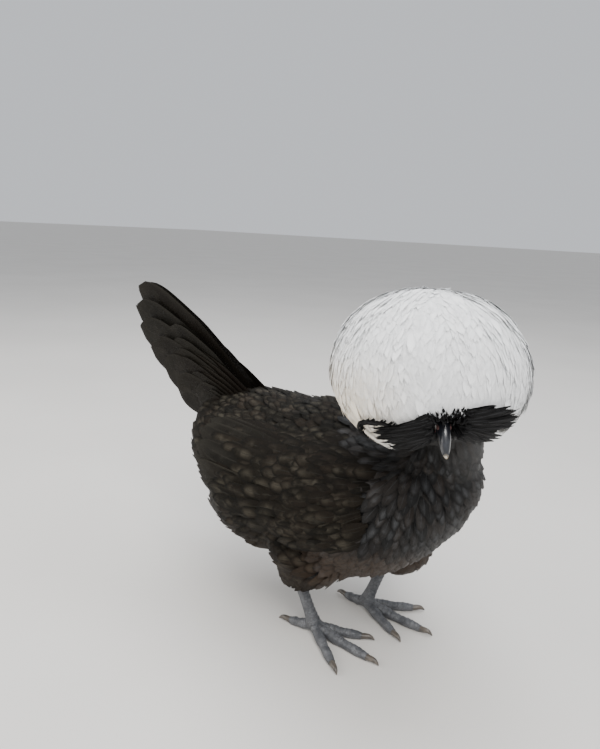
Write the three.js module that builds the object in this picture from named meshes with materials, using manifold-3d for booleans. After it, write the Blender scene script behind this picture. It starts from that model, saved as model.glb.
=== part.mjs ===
// A white-crested black crested hen, life size, standing with the head turned to its right.
// Millimetres. +X runs forward along the body, +Y to the bird's left and +Z up. The floor is z = 0.
// Every solid keeps GAP to its neighbour, and is cut back from the one that it grows from.

import * as THREE from "three";
import { mergeVertices } from "three/addons/utils/BufferGeometryUtils.js";
import Module from "manifold-3d";

const wasm = await Module();
wasm.setup();

const turn = THREE.MathUtils.degToRad;
const mix = THREE.MathUtils.lerp;
const v3 = (x, y, z) => new THREE.Vector3(x, y, z);

// Driving sizes
const GAP = 0.32;
const TORSO = {
  middle: -25,
  halfLength: 129,
  axis: [152, 142, 132, 126, 124, 125, 130, 140, 152],
  up: [62, 64, 67, 68, 70, 74, 76, 72, 60],
  down: [80, 80, 82, 76, 70, 69, 73, 72, 68],
  side: [84, 82, 78, 74, 73, 76, 83, 88, 86],
  fullness: { rear: 2.7, front: 2.15 },
};
const NECK_PATH = [v3(48, 0, 158), v3(76, -16, 188), v3(90, -46, 210), v3(88, -66, 226)];
const NECK_RADII = [46, 40, 28, 20, 15];
const HEAD_CENTRE = v3(97, -77.5, 229.5);
const HEAD_TURN = { yaw: -54, pitch: 27, roll: 4 };
const SKULL = { behind: 21, ahead: 17, side: 12.5, up: 14, down: 12.5 };
const BEAK = { base: 8, reach: 33, drop: 11, halfWidth: 5.2, height: 7.2 };
const LOWER_BEAK = { base: 7, reach: 28.5, drop: 8.5, halfWidth: 4.4, height: 6.5 };
const MOUTH = { back: 4, height: -1, slope: 14 };
const NOSTRIL = { ahead: 13.5, side: 3, up: 3.4, bulb: 2.9, slit: 1.1 };
const EYE_RADIUS = 5.2;
const EYE_PLACE = { ahead: 1, side: 9.6, up: 1.5 };
const WATTLE = { long: 3.2, thick: 1.6, high: 4.6, turn: 12, ahead: 9, side: 3.4, drop: 13 };
const LID = { radius: 5, tube: 1, turn: 14 };
const CREST_CENTRE = v3(79, -53, 243);
const CREST_REACH = { ahead: 55.5, side: 61, up: 51.5 };
const CREST_CORE = 0.5;
const CREST_TILT = 8;
const CREST_TIERS = [
  { polar: 16, root: -20, count: 3, width: 33 },
  { polar: 42, root: 8, count: 6, width: 40 },
  { polar: 68, root: 28, count: 9, width: 42 },
  { polar: 93, root: 52, count: 10, width: 43 },
  { polar: 116, root: 76, count: 9, width: 43 },
  { polar: 137, root: 98, count: 6, width: 38 },
];
const TUFT_FEATHERS = 5;
const TUFT_ROOT = { ahead: 13.5, side: 5, up: 8.5, radius: 4.2 };
const TUFT_TIPS = {
  left: [v3(18, 24, 17), v3(10, 40, 10), v3(17, 26, -6)],
  right: [v3(18, -22, 8), v3(4, -45, -9), v3(17, -20, -12)],
};
const TAIL_ROOT = v3(-108, 0, 172);
const TAIL_TURN = -1;
const TAIL_FEATHERS = 6;
const TAIL_WIDTH = 39;
const TAIL_TENT = 12;
const TAIL_SPREAD = { inner: 4.6, step: 2.2 };
const TAIL_TIPS = { out: [150, 151, 142, 123, 101, 80], up: [89, 71, 53, 36, 20, 4] };
const TAIL_ROOTS = { up: [8, -22] };
const TAIL_COVERTS = { count: 4, width: 29, out: [62, 44], up: [48, -30], across: [8, 15] };
const RUMP = { out: -6, up: -12, long: 42, wide: 34, high: 33 };
const WING_FRONT = 70;
const WING_CORE_REAR = -36;
const WING_LIFT = 1.6;
const WING_CORE = 3.4;
const WING_CORE_LOW = [2, -12, -16, -14, -6];
const WING_CORE_TOP = [26, 38, 42, 42, 40];
const SECONDARIES = 7;
const SECONDARY_REACH = [-68, -88, -102, -110, -109, -104, -98];
const PRIMARIES = 3;
const COVERT_TIERS = [
  { front: 40, length: 52, width: 30, count: 5, lift: 6.2 },
  { front: 56, length: 38, width: 25, count: 5, lift: 7.2 },
  { front: 70, length: 32, width: 22, count: 4, lift: 8 },
];
const HIP = { x: -8, y: 38, z: 90, leftAhead: 24 };
const HOCK = { x: -27, y: 37, z: 54, leftAhead: 50 };
const FOOT = { x: -10, y: 28, z: 6, leftAhead: 18 };
const SHANK_RADIUS = 4.6;
const TOE_WIDTH = 8.4;
const TOES = [
  { name: "inner", length: 40, heading: -26, scutes: 3 },
  { name: "middle", length: 52, heading: 2, scutes: 4 },
  { name: "outer", length: 42, heading: 36, scutes: 3 },
  { name: "hind", length: 22, heading: 172, scutes: 1 },
];
const CLAW_LENGTH = 11;

// A repeatable random number from -1 to 1
function randomFrom(seed) {
  let state = seed;
  return () => {
    state = (state * 1664525 + 1013904223) % 4294967296;
    return state / 2147483648 - 1;
  };
}

// A value at share t of a row of evenly spaced values, on a smooth curve through them
function along(values, t) {
  const place = THREE.MathUtils.clamp(t, 0, 1) * (values.length - 1);
  const i = Math.min(Math.floor(place), values.length - 2);
  const f = place - i;
  const a = values[i];
  const b = values[i + 1];
  const slopeA = i > 0 ? (b - values[i - 1]) / 2 : b - a;
  const slopeB = i + 2 < values.length ? (values[i + 2] - a) / 2 : b - a;
  const bend = f * (1 - f);
  return mix(a, b, f * f * (3 - 2 * f)) + bend * ((1 - f) * slopeA - f * slopeB);
}

// Solids
function bareGeometry(geometry) {
  const bare = new THREE.BufferGeometry();
  bare.setAttribute("position", geometry.getAttribute("position").clone());
  if (geometry.index) bare.setIndex(geometry.index.clone());
  return mergeVertices(bare, 1e-4);
}

function solidOf(geometry) {
  const bare = bareGeometry(geometry);
  return new wasm.Manifold(new wasm.Mesh({
    numProp: 3,
    vertProperties: new Float32Array(bare.attributes.position.array),
    triVerts: new Uint32Array(bare.index.array),
  }));
}

function geometryOf(solid) {
  const mesh = solid.getMesh();
  const geometry = new THREE.BufferGeometry();
  geometry.setAttribute("position", new THREE.BufferAttribute(new Float32Array(mesh.vertProperties), 3));
  geometry.setIndex(new THREE.BufferAttribute(new Uint32Array(mesh.triVerts), 1));
  geometry.computeVertexNormals();
  return geometry;
}

// The same closed surface moved outwards along its normals
function swell(geometry, by = GAP) {
  const bare = bareGeometry(geometry);
  bare.computeVertexNormals();
  const { position, normal } = bare.attributes;
  const p = v3(0, 0, 0);
  for (let i = 0; i < position.count; i++) {
    p.fromBufferAttribute(position, i);
    p.addScaledVector(v3(normal.getX(i), normal.getY(i), normal.getZ(i)), by);
    position.setXYZ(i, p.x, p.y, p.z);
  }
  return bare;
}

const largest = (solid) => solid.decompose().sort((a, b) => b.volume() - a.volume())[0];
const union = (geometries) => wasm.Manifold.union(geometries.map(solidOf));
const fuse = (geometries) => largest(union(geometries));
const cutClear = (solid, ...others) => largest(others.reduce((left, other) => left.subtract(other), solid));

// A closed skin over rings with an even number of points, each end brought to one point.
// The diagonals alternate round the ring, so a thin plate is split alike on both faces.
function skinOver(rings, startTip, endTip) {
  const sides = rings[0].length;
  const last = 1 + rings.length * sides;
  const at = (ring, k) => 1 + ring * sides + (k % sides);
  const faces = [];
  for (let k = 0; k < sides; k++) {
    faces.push(0, at(0, k + 1), at(0, k));
    for (let r = 0; r + 1 < rings.length; r++) {
      const [a, b, c, d] = [at(r, k), at(r, k + 1), at(r + 1, k + 1), at(r + 1, k)];
      if (k % 2 === 0) faces.push(a, b, c, a, c, d);
      else faces.push(a, b, d, b, c, d);
    }
    faces.push(last, at(rings.length - 1, k), at(rings.length - 1, k + 1));
  }
  const geometry = new THREE.BufferGeometry().setFromPoints([startTip, ...rings.flat(), endTip]);
  geometry.setIndex(faces);
  return geometry;
}

// A ball whose points are placed by shape(lengthwise, around), lengthwise from -1 to 1
function moulded(shape, around, lengthwise) {
  const geometry = bareGeometry(new THREE.SphereGeometry(1, around, lengthwise).rotateZ(-Math.PI / 2));
  const position = geometry.attributes.position;
  for (let i = 0; i < position.count; i++) {
    const p = shape(position.getX(i), Math.atan2(position.getZ(i), position.getY(i)));
    position.setXYZ(i, p.x, p.y, p.z);
  }
  return geometry;
}

// A rounded limb along a smooth path, with radii at evenly spaced places. Its upper or front side
// carries overlapping scutes, each a raised step of the skin.
const SCUTE_RISE = 1.13;
function limb(path, radii, sides, steps, scutes = 0, scuteSide = v3(0, 0, 1)) {
  const curve = new THREE.CatmullRomCurve3(path);
  const places = [];
  if (scutes) {
    for (let i = 0; i < scutes; i++) places.push([i / scutes, SCUTE_RISE], [(i + 0.86) / scutes, 1]);
    places.push([1, 1]);
  } else {
    for (let i = 0; i <= steps; i++) places.push([i / steps, 1]);
  }
  const first = curve.getTangentAt(0);
  const across = first.clone().cross(scuteSide).normalize();
  const rings = places.map(([t, rise]) => {
    const tangent = curve.getTangentAt(t);
    const spine = across.clone().cross(tangent).normalize();
    const side = spine.clone().cross(tangent).normalize();
    const centre = curve.getPointAt(t);
    const radius = along(radii, t);
    return Array.from({ length: sides }, (_, k) => {
      const angle = (2 * Math.PI * k) / sides;
      const out = radius * (Math.sin(angle) > 0.2 ? rise : 1);
      const across = side.clone().multiplyScalar(out * Math.cos(angle));
      return across.addScaledVector(spine, out * Math.sin(angle)).add(centre);
    });
  });
  const start = curve.getPointAt(0).addScaledVector(first, -radii[0] * 0.5);
  const end = curve.getPointAt(1).addScaledVector(curve.getTangentAt(1), radii[radii.length - 1] * 0.5);
  return skinOver(rings, start, end);
}

// A feather: a thin plate with a rounded tip and a raised shaft, along a curve of three or four points.
// outward(t, point) gives the side that faces away from the body, and roll tilts the plate about its shaft.
const VANE_PLACES = [0, 0.4, 0.78, 0.955];
function vane({ path, outward, width, thick = 1, camber = 0.1, roll = 0, rootShare = 0.4, grow = 0 }) {
  const curve = path.length === 3
    ? new THREE.QuadraticBezierCurve3(...path)
    : new THREE.CubicBezierCurve3(...path);
  const rings = VANE_PLACES.map((t) => {
    const centre = curve.getPoint(t);
    const forward = curve.getTangent(t);
    const out = outward(t, centre).clone();
    out.addScaledVector(forward, -out.dot(forward)).normalize().applyAxisAngle(forward, roll);
    const side = out.clone().cross(forward);
    const taper = Math.sqrt(1 - Math.pow(Math.max(0, (t - 0.6) / 0.4), 2.4));
    const fullness = Math.min(1, mix(rootShare, 1, t / 0.5)) * taper;
    const half = (width / 2) * fullness + grow;
    const thin = mix(thick, Math.max(0.6, thick * 0.7), t) / 2 + grow;
    return [[half, -camber * half], [0, thin], [-half, -camber * half], [0, -thin]].map(
      ([aside, up]) => centre.clone().addScaledVector(side, aside).addScaledVector(out, up),
    );
  });
  const root = curve.getPoint(0).addScaledVector(curve.getTangent(0), -0.6 - grow);
  const tip = curve.getPoint(1).addScaledVector(curve.getTangent(1), grow);
  return skinOver(rings, root, tip);
}

const mirrored = (geometry) => {
  const copy = bareGeometry(geometry).scale(1, -1, 1);
  const index = copy.index.array;
  for (let i = 0; i < index.length; i += 3) [index[i], index[i + 1]] = [index[i + 1], index[i]];
  return copy;
};

// Materials
const finish = (color, roughness) => new THREE.MeshStandardMaterial({ color, roughness, metalness: 0 });
const finishes = {
  body: finish(0x1c1a19, 0.72),
  flight: finish(0x201f20, 0.62),
  crest: finish(0xefece2, 0.85),
  face: finish(0x1b1a1a, 0.75),
  beak: finish(0x3b4048, 0.35),
  eye: finish(0x2b1208, 0.08),
  leg: finish(0x5b6068, 0.5),
  claw: finish(0x4a4238, 0.4),
  wattle: finish(0x8c2624, 0.6),
};

// Torso: a deep, full body, widest at the breast
function torsoPoint(lengthwise, around) {
  const t = (lengthwise + 1) / 2;
  const fullness = lengthwise < 0 ? TORSO.fullness.rear : TORSO.fullness.front;
  const rim = Math.sqrt(Math.max(0, 1 - Math.pow(Math.abs(lengthwise), fullness)));
  const rise = Math.sin(around) > 0 ? along(TORSO.up, t) : along(TORSO.down, t);
  const y = along(TORSO.side, t) * rim * Math.cos(around);
  const z = along(TORSO.axis, t) + rise * rim * Math.sin(around);
  return v3(TORSO.middle + lengthwise * TORSO.halfLength, y, z);
}
const torso = moulded(torsoPoint, 22, 15);

// A place above the torso's left side: x along the body, degrees round it from level, and a height
function skin(x, degrees, lift) {
  const step = 0.01;
  const lengthwise = (x - TORSO.middle) / TORSO.halfLength;
  const around = turn(degrees);
  const point = torsoPoint(lengthwise, around);
  const ahead = torsoPoint(lengthwise + step, around).sub(point);
  const upward = torsoPoint(lengthwise, around + step).sub(point);
  const normal = upward.cross(ahead).normalize();
  return { point: point.addScaledVector(normal, lift), normal };
}

const neck = limb(NECK_PATH, NECK_RADII, 16, 8);

// Head, in its own frame: +X to the beak, +Y to its left, +Z to its crown
const headFrame = new THREE.Matrix4().compose(
  HEAD_CENTRE,
  new THREE.Quaternion().setFromEuler(
    new THREE.Euler(turn(HEAD_TURN.roll), turn(HEAD_TURN.pitch), turn(HEAD_TURN.yaw), "ZYX"),
  ),
  v3(1, 1, 1),
);
const onHead = (geometry) => bareGeometry(geometry).applyMatrix4(headFrame);

const skull = onHead(moulded((lengthwise, around) => {
  const rim = Math.sqrt(1 - lengthwise * lengthwise);
  const rise = Math.sin(around) > 0 ? SKULL.up : SKULL.down;
  const reach = lengthwise > 0 ? SKULL.ahead : SKULL.behind;
  return v3(reach * lengthwise, SKULL.side * rim * Math.cos(around), rise * rim * Math.sin(around));
}, 12, 9));

const eyeOn = (side) => onHead(
  new THREE.SphereGeometry(EYE_RADIUS, 10, 8).translate(EYE_PLACE.ahead, side * EYE_PLACE.side, EYE_PLACE.up),
);

const lidOn = (side) => onHead(
  new THREE.TorusGeometry(LID.radius, LID.tube, 5, 10)
    .rotateX(Math.PI / 2)
    .rotateZ(turn(side * -LID.turn))
    .translate(EYE_PLACE.ahead, side * SKULL.side, EYE_PLACE.up),
);

const wattleOn = (side) => onHead(
  new THREE.SphereGeometry(1, 8, 6)
    .scale(WATTLE.long, WATTLE.thick, WATTLE.high)
    .rotateX(turn(side * WATTLE.turn))
    .translate(WATTLE.ahead, side * WATTLE.side, -WATTLE.drop),
);

// Beak: two horny halves that meet along the line of the mouth
function bill(size, around, lengthwise) {
  return moulded((l, angle) => {
    const t = (l + 1) / 2;
    const bulk = Math.sqrt(1 - t * t * t) * Math.min(1, Math.sqrt(t * 8));
    const z = size.height * bulk * Math.sin(angle) * (Math.sin(angle) > 0 ? 1 : 0.8) - size.drop * t * t;
    return v3(mix(size.base, size.reach, t), size.halfWidth * bulk * Math.cos(angle), z);
  }, around, lengthwise);
}

// A thick block whose face is the mouth's plane: above it for the lower half, below it for the upper
const mouthBlock = (side) => new THREE.BoxGeometry(80, 40, 20)
  .translate(40 - 20, 0, side * (10 - GAP / 2))
  .rotateY(turn(MOUTH.slope))
  .translate(MOUTH.back, 0, MOUTH.height);

const nostrilBulb = (side) => new THREE.SphereGeometry(NOSTRIL.bulb, 8, 6)
  .scale(1.35, 0.8, 0.8)
  .translate(NOSTRIL.ahead, side * NOSTRIL.side, NOSTRIL.up);
const nostrilSlit = (side) => new THREE.SphereGeometry(NOSTRIL.slit, 6, 4)
  .scale(1.8, 1.2, 0.8)
  .translate(NOSTRIL.ahead + 1, side * (NOSTRIL.side + NOSTRIL.bulb * 0.8), NOSTRIL.up - 0.4);

const upperBeakHorn = bill(BEAK, 12, 9);
const lowerBeakHorn = bill(LOWER_BEAK, 10, 7);
const inHeadFrame = (solid) => solid.transform(headFrame.elements);
const upperBeak = inHeadFrame(cutClear(
  fuse([upperBeakHorn, nostrilBulb(1), nostrilBulb(-1)]),
  solidOf(mouthBlock(-1)),
  solidOf(nostrilSlit(1)),
  solidOf(nostrilSlit(-1)),
));
const lowerBeak = inHeadFrame(cutClear(solidOf(lowerBeakHorn), solidOf(mouthBlock(1))));
const beakRoom = union([
  onHead(swell(upperBeakHorn)),
  onHead(swell(lowerBeakHorn)),
]);
const nostrilRoom = union([1, -1].map((side) => onHead(swell(nostrilBulb(side)))));

// Crest: broad feathers from a small core that bend over one another into a globe
function crestPoint(polar, azimuth, share) {
  const [a, b] = [turn(polar), turn(azimuth)];
  return v3(
    CREST_REACH.ahead * Math.sin(a) * Math.cos(b),
    CREST_REACH.side * Math.sin(a) * Math.sin(b),
    CREST_REACH.up * Math.cos(a),
  ).multiplyScalar(share).applyAxisAngle(v3(0, 1, 0), turn(CREST_TILT))
    .applyAxisAngle(v3(0, 0, 1), turn(HEAD_TURN.yaw)).add(CREST_CENTRE);
}
const crestCore = moulded((lengthwise, around) => {
  const rim = Math.sqrt(1 - lengthwise * lengthwise);
  return v3(
    CREST_REACH.ahead * lengthwise,
    CREST_REACH.side * rim * Math.cos(around),
    CREST_REACH.up * rim * Math.sin(around),
  ).multiplyScalar(CREST_CORE);
}, 12, 8).rotateZ(turn(HEAD_TURN.yaw)).translate(CREST_CENTRE.x, CREST_CENTRE.y, CREST_CENTRE.z);

const toHead = headFrame.clone().invert();
function hidesFace(tip) {
  const { x, y, z } = tip.clone().applyMatrix4(toHead);
  return x > 0 && z < 9 && Math.abs(y) < 21;
}

function through(start, middle, end) {
  const bend = middle.clone().multiplyScalar(2).addScaledVector(start, -0.5).addScaledVector(end, -0.5);
  return [start, bend, end];
}

function crestFeathers() {
  const random = randomFrom(7);
  const feathers = [];
  CREST_TIERS.forEach((tier, row) => {
    for (let i = 0; i < tier.count; i++) {
      const azimuth = (360 * (i + 0.5 * (row % 2))) / tier.count + 6 * random();
      let polar = tier.polar + 7 * random();
      while (hidesFace(crestPoint(polar, azimuth, 1))) polar -= 4;
      const share = 1 + 0.02 * random();
      feathers.push(vane({
        path: through(
          crestPoint(tier.root, azimuth, CREST_CORE - 0.05),
          crestPoint(mix(tier.root, polar, 0.5), azimuth, 0.945 * share),
          crestPoint(polar, azimuth, share),
        ),
        outward: (t, point) => point.clone().sub(CREST_CENTRE),
        width: tier.width + 2 * random(),
        thick: 1.1,
        roll: turn(10 + 2 * random()),
        rootShare: 0.25,
      }));
    }
  });
  return feathers;
}

// Tufts: narrow dark feathers that sweep sideways from above the beak, over the crest's lower edge
const crestCentreOnHead = CREST_CENTRE.clone().applyMatrix4(toHead);
function tuftFeathers(side, grow = 0) {
  const fan = side > 0 ? TUFT_TIPS.left : TUFT_TIPS.right;
  const tips = new THREE.CatmullRomCurve3(fan);
  const random = randomFrom(side > 0 ? 21 : 22);
  const feathers = [new THREE.SphereGeometry(TUFT_ROOT.radius + grow, 8, 6).translate(
    TUFT_ROOT.ahead, side * TUFT_ROOT.side, TUFT_ROOT.up,
  )];
  for (let i = 0; i < TUFT_FEATHERS; i++) {
    const share = i / (TUFT_FEATHERS - 1);
    const tip = tips.getPoint(share);
    const root = v3(TUFT_ROOT.ahead, side * TUFT_ROOT.side, TUFT_ROOT.up + mix(2.5, -2.5, share));
    const middle = root.clone().lerp(tip, 0.5).addScaledVector(v3(1, 0, 0), 5.5 + 0.6 * random());
    feathers.push(vane({
      path: through(root, middle, tip),
      outward: (t, point) => point.clone().sub(crestCentreOnHead),
      width: 12,
      thick: 0.9,
      roll: turn(side * 12),
      grow,
    }));
  }
  return feathers.map(onHead);
}

// Tail: overlapping feathers on each side of a ridge, on a full root, with coverts over their base
function onTail(geometry) {
  return geometry.rotateZ(turn(TAIL_TURN)).translate(TAIL_ROOT.x, TAIL_ROOT.y, TAIL_ROOT.z);
}

function tailFeather(root, tip, across, width, lift = 0) {
  const start = v3(-root[0], across, root[1]);
  const end = v3(-tip[0], across + lift, tip[1]);
  const middle = start.clone().lerp(end, 0.5).add(v3(0, lift * 0.6, 4));
  return vane({
    path: through(start, middle, end),
    outward: () => v3(0, 1, 0),
    width,
    thick: 1.1,
    camber: 0.05,
    roll: turn(-TAIL_TENT),
    rootShare: 0.5,
  });
}

function tailHalf(side) {
  const feathers = [];
  for (let i = 0; i < TAIL_FEATHERS; i++) {
    const share = i / (TAIL_FEATHERS - 1);
    const across = TAIL_SPREAD.inner + TAIL_SPREAD.step * i;
    const tip = [along(TAIL_TIPS.out, share), along(TAIL_TIPS.up, share)];
    feathers.push(tailFeather([0, mix(...TAIL_ROOTS.up, share)], tip, across, TAIL_WIDTH));
  }
  for (let i = 0; i < TAIL_COVERTS.count; i++) {
    const share = i / (TAIL_COVERTS.count - 1);
    const tip = [mix(...TAIL_COVERTS.out, share), mix(...TAIL_COVERTS.up, share)];
    const across = mix(...TAIL_COVERTS.across, share);
    feathers.push(tailFeather([-6, tip[1] * 0.25 - 4], tip, across, TAIL_COVERTS.width, 2));
  }
  const root = new THREE.SphereGeometry(1, 14, 10)
    .scale(RUMP.long, RUMP.wide, RUMP.high)
    .translate(-RUMP.out, 0, RUMP.up);
  const otherHalf = new THREE.BoxGeometry(400, 100, 400).translate(0, GAP / 2 - 50, 0);
  const half = cutClear(fuse([root, ...feathers]), solidOf(otherHalf));
  const shape = geometryOf(half);
  return solidOf(onTail(side > 0 ? bareGeometry(shape) : mirrored(shape)));
}

// Wings: a flat shoulder that carries tiers of coverts over the long flight feathers
function wingFeather(from, to, width, roll = -7) {
  const start = skin(...from);
  const end = skin(...to);
  const middle = skin(mix(from[0], to[0], 0.5), mix(from[1], to[1], 0.5), mix(from[2], to[2], 0.5) + 1);
  return vane({
    path: through(start.point, middle.point, end.point),
    outward: (t) => start.normal.clone().lerp(end.normal, t),
    width,
    thick: 1,
    roll: turn(roll),
  });
}

function wingCore() {
  const places = [0.03, 0.15, 0.32, 0.5, 0.68, 0.85, 0.97];
  const rings = places.map((t) => {
    const x = mix(WING_FRONT, WING_CORE_REAR, t);
    const taper = Math.sin(Math.PI * mix(0.1, 0.9, t));
    const [low, top] = [along(WING_CORE_LOW, t), along(WING_CORE_TOP, t)];
    const outer = [1, 0.75, 0.5, 0.25, 0].map((share) => {
      const swelling = WING_CORE * taper * Math.sin(Math.PI * mix(0.12, 0.88, share));
      return skin(x, mix(low, top, share), WING_LIFT + swelling).point;
    });
    const inner = [0, 0.25, 0.5, 0.75, 1].map((share) => skin(x, mix(low, top, share), WING_LIFT - 1).point);
    return [...outer, ...inner];
  });
  const middleOf = (t) => (along(WING_CORE_LOW, t) + along(WING_CORE_TOP, t)) / 2;
  return skinOver(
    rings,
    skin(WING_FRONT + 2, middleOf(0), WING_LIFT).point,
    skin(WING_CORE_REAR - 2, middleOf(1), WING_LIFT).point,
  );
}

function wingOn(side) {
  const feathers = [];
  for (let i = 0; i < PRIMARIES; i++) {
    const share = i / (PRIMARIES - 1);
    const from = [2, mix(-10, 2, share), 2.6];
    const to = [mix(-104, -118, share), mix(-20, -6, share), 2];
    feathers.push(wingFeather(from, to, 17));
  }
  for (let i = 0; i < SECONDARIES; i++) {
    const share = i / (SECONDARIES - 1);
    const from = [mix(26, 0, share), mix(-8, 37, share), 3.4];
    const to = [along(SECONDARY_REACH, share), mix(-24, 36, share), 4.8];
    feathers.push(wingFeather(from, to, 27, -9));
  }
  COVERT_TIERS.forEach((tier, row) => {
    for (let i = 0; i < tier.count; i++) {
      const share = (i + 0.5 * (row % 2)) / (tier.count - 0.5);
      const t = (WING_FRONT - tier.front) / (WING_FRONT - WING_CORE_REAR);
      const degrees = mix(along(WING_CORE_LOW, t), along(WING_CORE_TOP, t), mix(0.06, 0.94, share));
      const front = tier.front - 10 * share;
      feathers.push(wingFeather(
        [front, degrees, tier.lift - 2.6],
        [front - tier.length, mix(degrees, degrees * 1.1 - 4, share), tier.lift],
        tier.width,
        -6,
      ));
    }
  });
  const shape = geometryOf(fuse([wingCore(), ...feathers]));
  return solidOf(side > 0 ? shape : mirrored(shape));
}

// Legs
function legPoint(place, side, ahead = 0, up = 0) {
  const step = side > 0 ? place.leftAhead : 0;
  return v3(place.x + ahead + step, side * place.y, place.z + up);
}

function thighOn(side) {
  const path = [legPoint(HIP, side), legPoint(HOCK, side, 12, 18), legPoint(HOCK, side, 2, -6)];
  return limb(path, [40, 33, 24, 14], 12, 5, 0, v3(1, 0, 0));
}

function shankOn(side) {
  const radii = [1.4, 1.1, 1, 1.1, 1.3].map((share) => SHANK_RADIUS * share);
  return limb([legPoint(HOCK, side, 0, 4), legPoint(FOOT, side, 0, 4)], radii, 8, 0, 7, v3(1, 0, 0));
}

function toePath(side, toe) {
  const heading = turn(side * toe.heading);
  const ahead = v3(Math.cos(heading), Math.sin(heading), 0);
  const start = legPoint(FOOT, side);
  return { ahead, start, end: start.clone().addScaledVector(ahead, toe.length).setZ(TOE_WIDTH * 0.36) };
}

function footOn(side) {
  const centre = legPoint(FOOT, side);
  const palm = new THREE.SphereGeometry(8.5, 9, 7).scale(1, 1, 0.85).translate(centre.x, centre.y, centre.z);
  const toes = TOES.map((toe) => {
    const { start, end } = toePath(side, toe);
    const knuckle = start.clone().lerp(end, 0.5).setZ(TOE_WIDTH * 0.5);
    const radii = [0.5, 0.5, 0.36].map((share) => TOE_WIDTH * share);
    return limb([start, knuckle, end], radii, 6, 0, toe.scutes);
  });
  const floor = new THREE.BoxGeometry(400, 400, 20).translate(0, 0, -10);
  return cutClear(fuse([palm, ...toes]), solidOf(floor));
}

function clawOn(side, toe) {
  const { ahead, end } = toePath(side, toe);
  const root = end.clone().addScaledVector(ahead, -1);
  const knuckle = end.clone().addScaledVector(ahead, CLAW_LENGTH * 0.6).setZ(end.z + 0.4);
  const tip = end.clone().addScaledVector(ahead, CLAW_LENGTH).setZ(1.4);
  return limb([root, knuckle, tip], [2.4, 1.9, 0.7], 6, 3);
}

// Assembly: each solid is cut back from those that it grows from
const bird = new THREE.Group();
function place(name, solid, material) {
  const node = new THREE.Mesh(geometryOf(solid), material);
  node.name = name;
  bird.add(node);
}

const torsoRoom = solidOf(swell(torso));
const neckRoom = solidOf(swell(neck));
const skullRoom = solidOf(swell(skull));
const eyes = [1, -1].map(eyeOn);
const eyeRoom = union(eyes.map((eye) => swell(eye)));
const lidRoom = union([1, -1].map((side) => swell(lidOn(side))));
const headRoom = wasm.Manifold.union([skullRoom, eyeRoom, lidRoom, beakRoom, nostrilRoom]);
const wattleRoom = union([1, -1].map((side) => swell(wattleOn(side))));

place("torso", solidOf(torso), finishes.body);
place("neck", cutClear(solidOf(neck), torsoRoom, wattleRoom), finishes.body);
const head = fuse([skull, lidOn(1), lidOn(-1)]);
place("head", cutClear(head, neckRoom, eyeRoom, beakRoom, nostrilRoom), finishes.face);
place("eye_left", solidOf(eyes[0]), finishes.eye);
place("eye_right", solidOf(eyes[1]), finishes.eye);
place("beak_upper", upperBeak, finishes.beak);
place("beak_lower", lowerBeak, finishes.beak);

const tuftRoom = union([1, -1].flatMap((side) => tuftFeathers(side, GAP)));
const crest = fuse([crestCore, ...crestFeathers()]);
place("crest", cutClear(crest, torsoRoom, neckRoom, headRoom, tuftRoom, wattleRoom), finishes.crest);

for (const [side, word] of [[1, "left"], [-1, "right"]]) {
  const wattle = cutClear(solidOf(wattleOn(side)), skullRoom, beakRoom, nostrilRoom);
  place(`wattle_${word}`, wattle, finishes.wattle);
  place(`tuft_${word}`, cutClear(fuse(tuftFeathers(side)), headRoom), finishes.face);
  place(`tail_${word}`, cutClear(tailHalf(side), torsoRoom), finishes.flight);
  const thighRoom = solidOf(swell(thighOn(side)));
  place(`wing_${word}`, cutClear(wingOn(side), torsoRoom, neckRoom, thighRoom), finishes.flight);
  place(`thigh_${word}`, cutClear(solidOf(thighOn(side)), torsoRoom), finishes.body);
  const shankRoom = solidOf(swell(shankOn(side)));
  place(`shank_${word}`, cutClear(solidOf(shankOn(side)), thighRoom), finishes.leg);
  const claws = TOES.map((toe) => ({ toe, geometry: clawOn(side, toe) }));
  const clawRoom = union(claws.map((claw) => swell(claw.geometry)));
  place(`foot_${word}`, cutClear(footOn(side), shankRoom, clawRoom), finishes.leg);
  for (const { toe, geometry } of claws) place(`claw_${word}_${toe.name}`, solidOf(geometry), finishes.claw);
}

// The model's origin is at the middle of its footprint box, on the floor
const box = new THREE.Box3().setFromObject(bird);
const middle = box.getCenter(v3(0, 0, 0));
bird.position.set(-middle.x, -middle.y, -box.min.z);
const model = new THREE.Group();
model.add(bird);

export default model;
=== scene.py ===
"""A white-crested black crested hen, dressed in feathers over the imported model.

Bird frame: millimetres, +X forward along the body, +Y to the bird's left, +Z up, the floor at z = 0.
A side is 1 for the bird's left and -1 for its right. A share runs from 0 to 1.
"""
import math
from itertools import product
from math import cos, pi, radians, sin, sqrt, tau
import bpy
import numpy as np
from mathutils import Euler, Matrix, Vector
from mathutils.bvhtree import BVHTree


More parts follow.
